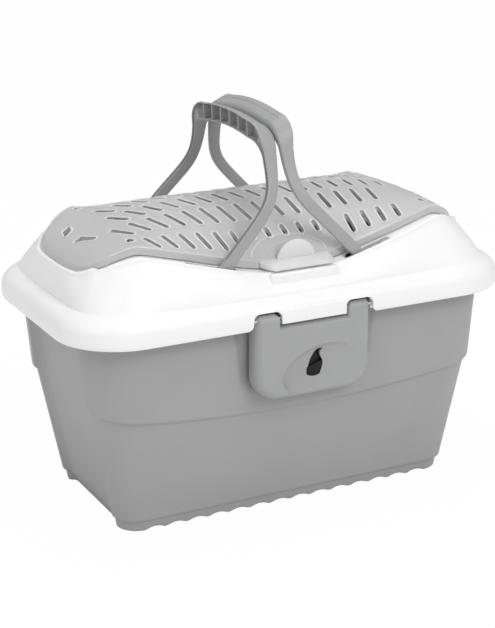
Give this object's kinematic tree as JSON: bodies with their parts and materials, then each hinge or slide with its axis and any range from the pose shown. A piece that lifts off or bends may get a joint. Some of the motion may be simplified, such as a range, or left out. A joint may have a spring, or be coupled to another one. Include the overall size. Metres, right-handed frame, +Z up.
{
  "type": "pet carrier",
  "caption": "Plastic pet keeper: tapered tub, clip-on lid with a slotted lift-up hatch, two swing handles that meet in the middle and a swing latch front and back.",
  "frame": {"origin": "on the ground under the middle of the tub", "axes": "+X along the length, to the right seen from the front; the front with the hatch tab faces -Y; +Z up"},
  "size_m": [0.5, 0.284, 0.4143],
  "materials": {
    "tub": "moulded grey",
    "lid": "moulded white",
    "hatch": "translucent light grey",
    "tab": "moulded pale grey",
    "hinge": "moulded light grey",
    "handle": "moulded grey",
    "latch": "moulded grey",
    "catch": "moulded black",
    "pin": "drawn wire"
  },
  "bodies": {
    "tub_body": {"tub": "tub", "catch_front": "catch", "catch_back": "catch"},
    "lid_body": {"lid": "lid", "latch_pin_front": "pin", "latch_pin_back": "pin", "handle_pin_front_left": "pin", "handle_pin_back_left": "pin", "handle_pin_front_right": "pin", "handle_pin_back_right": "pin"},
    "hatch_body": {"hatch": "hatch", "hatch_tab": "tab", "hatch_hinge_left": "hinge", "hatch_hinge_right": "hinge", "hatch_pin_left": "pin", "hatch_pin_right": "pin"},
    "handle_left_body": {"handle_left": "handle"},
    "handle_right_body": {"handle_right": "handle"},
    "latch_front_body": {"latch_front": "latch"},
    "latch_back_body": {"latch_back": "latch"}
  },
  "joints": [
    {"name": "lid_lift", "type": "slide", "parent": "tub_body", "child": "lid_body", "axis": [0, 0, 1], "range_m": [0, 0.3]},
    {"name": "hatch_swing", "type": "hinge", "parent": "lid_body", "child": "hatch_body", "pos_m": [0, 0.104, 0.2695], "axis": [-1, 0, 0], "range_deg": [0, 4.5]},
    {"name": "handle_left_swing", "type": "hinge", "parent": "lid_body", "child": "handle_left_body", "pos_m": [-0.092, 0, 0.258], "axis": [0, -1, 0], "range_deg": [0, 80]},
    {"name": "handle_right_swing", "type": "hinge", "parent": "lid_body", "child": "handle_right_body", "pos_m": [0.076, 0, 0.258], "axis": [0, 1, 0], "range_deg": [0, 80]},
    {"name": "latch_front_swing", "type": "hinge", "parent": "lid_body", "child": "latch_front_body", "pos_m": [0, -0.136, 0.2215], "axis": [-1, 0, 0], "range_deg": [0, 110]},
    {"name": "latch_back_swing", "type": "hinge", "parent": "lid_body", "child": "latch_back_body", "pos_m": [0, 0.136, 0.2215], "axis": [1, 0, 0], "range_deg": [0, 110]}
  ]
}
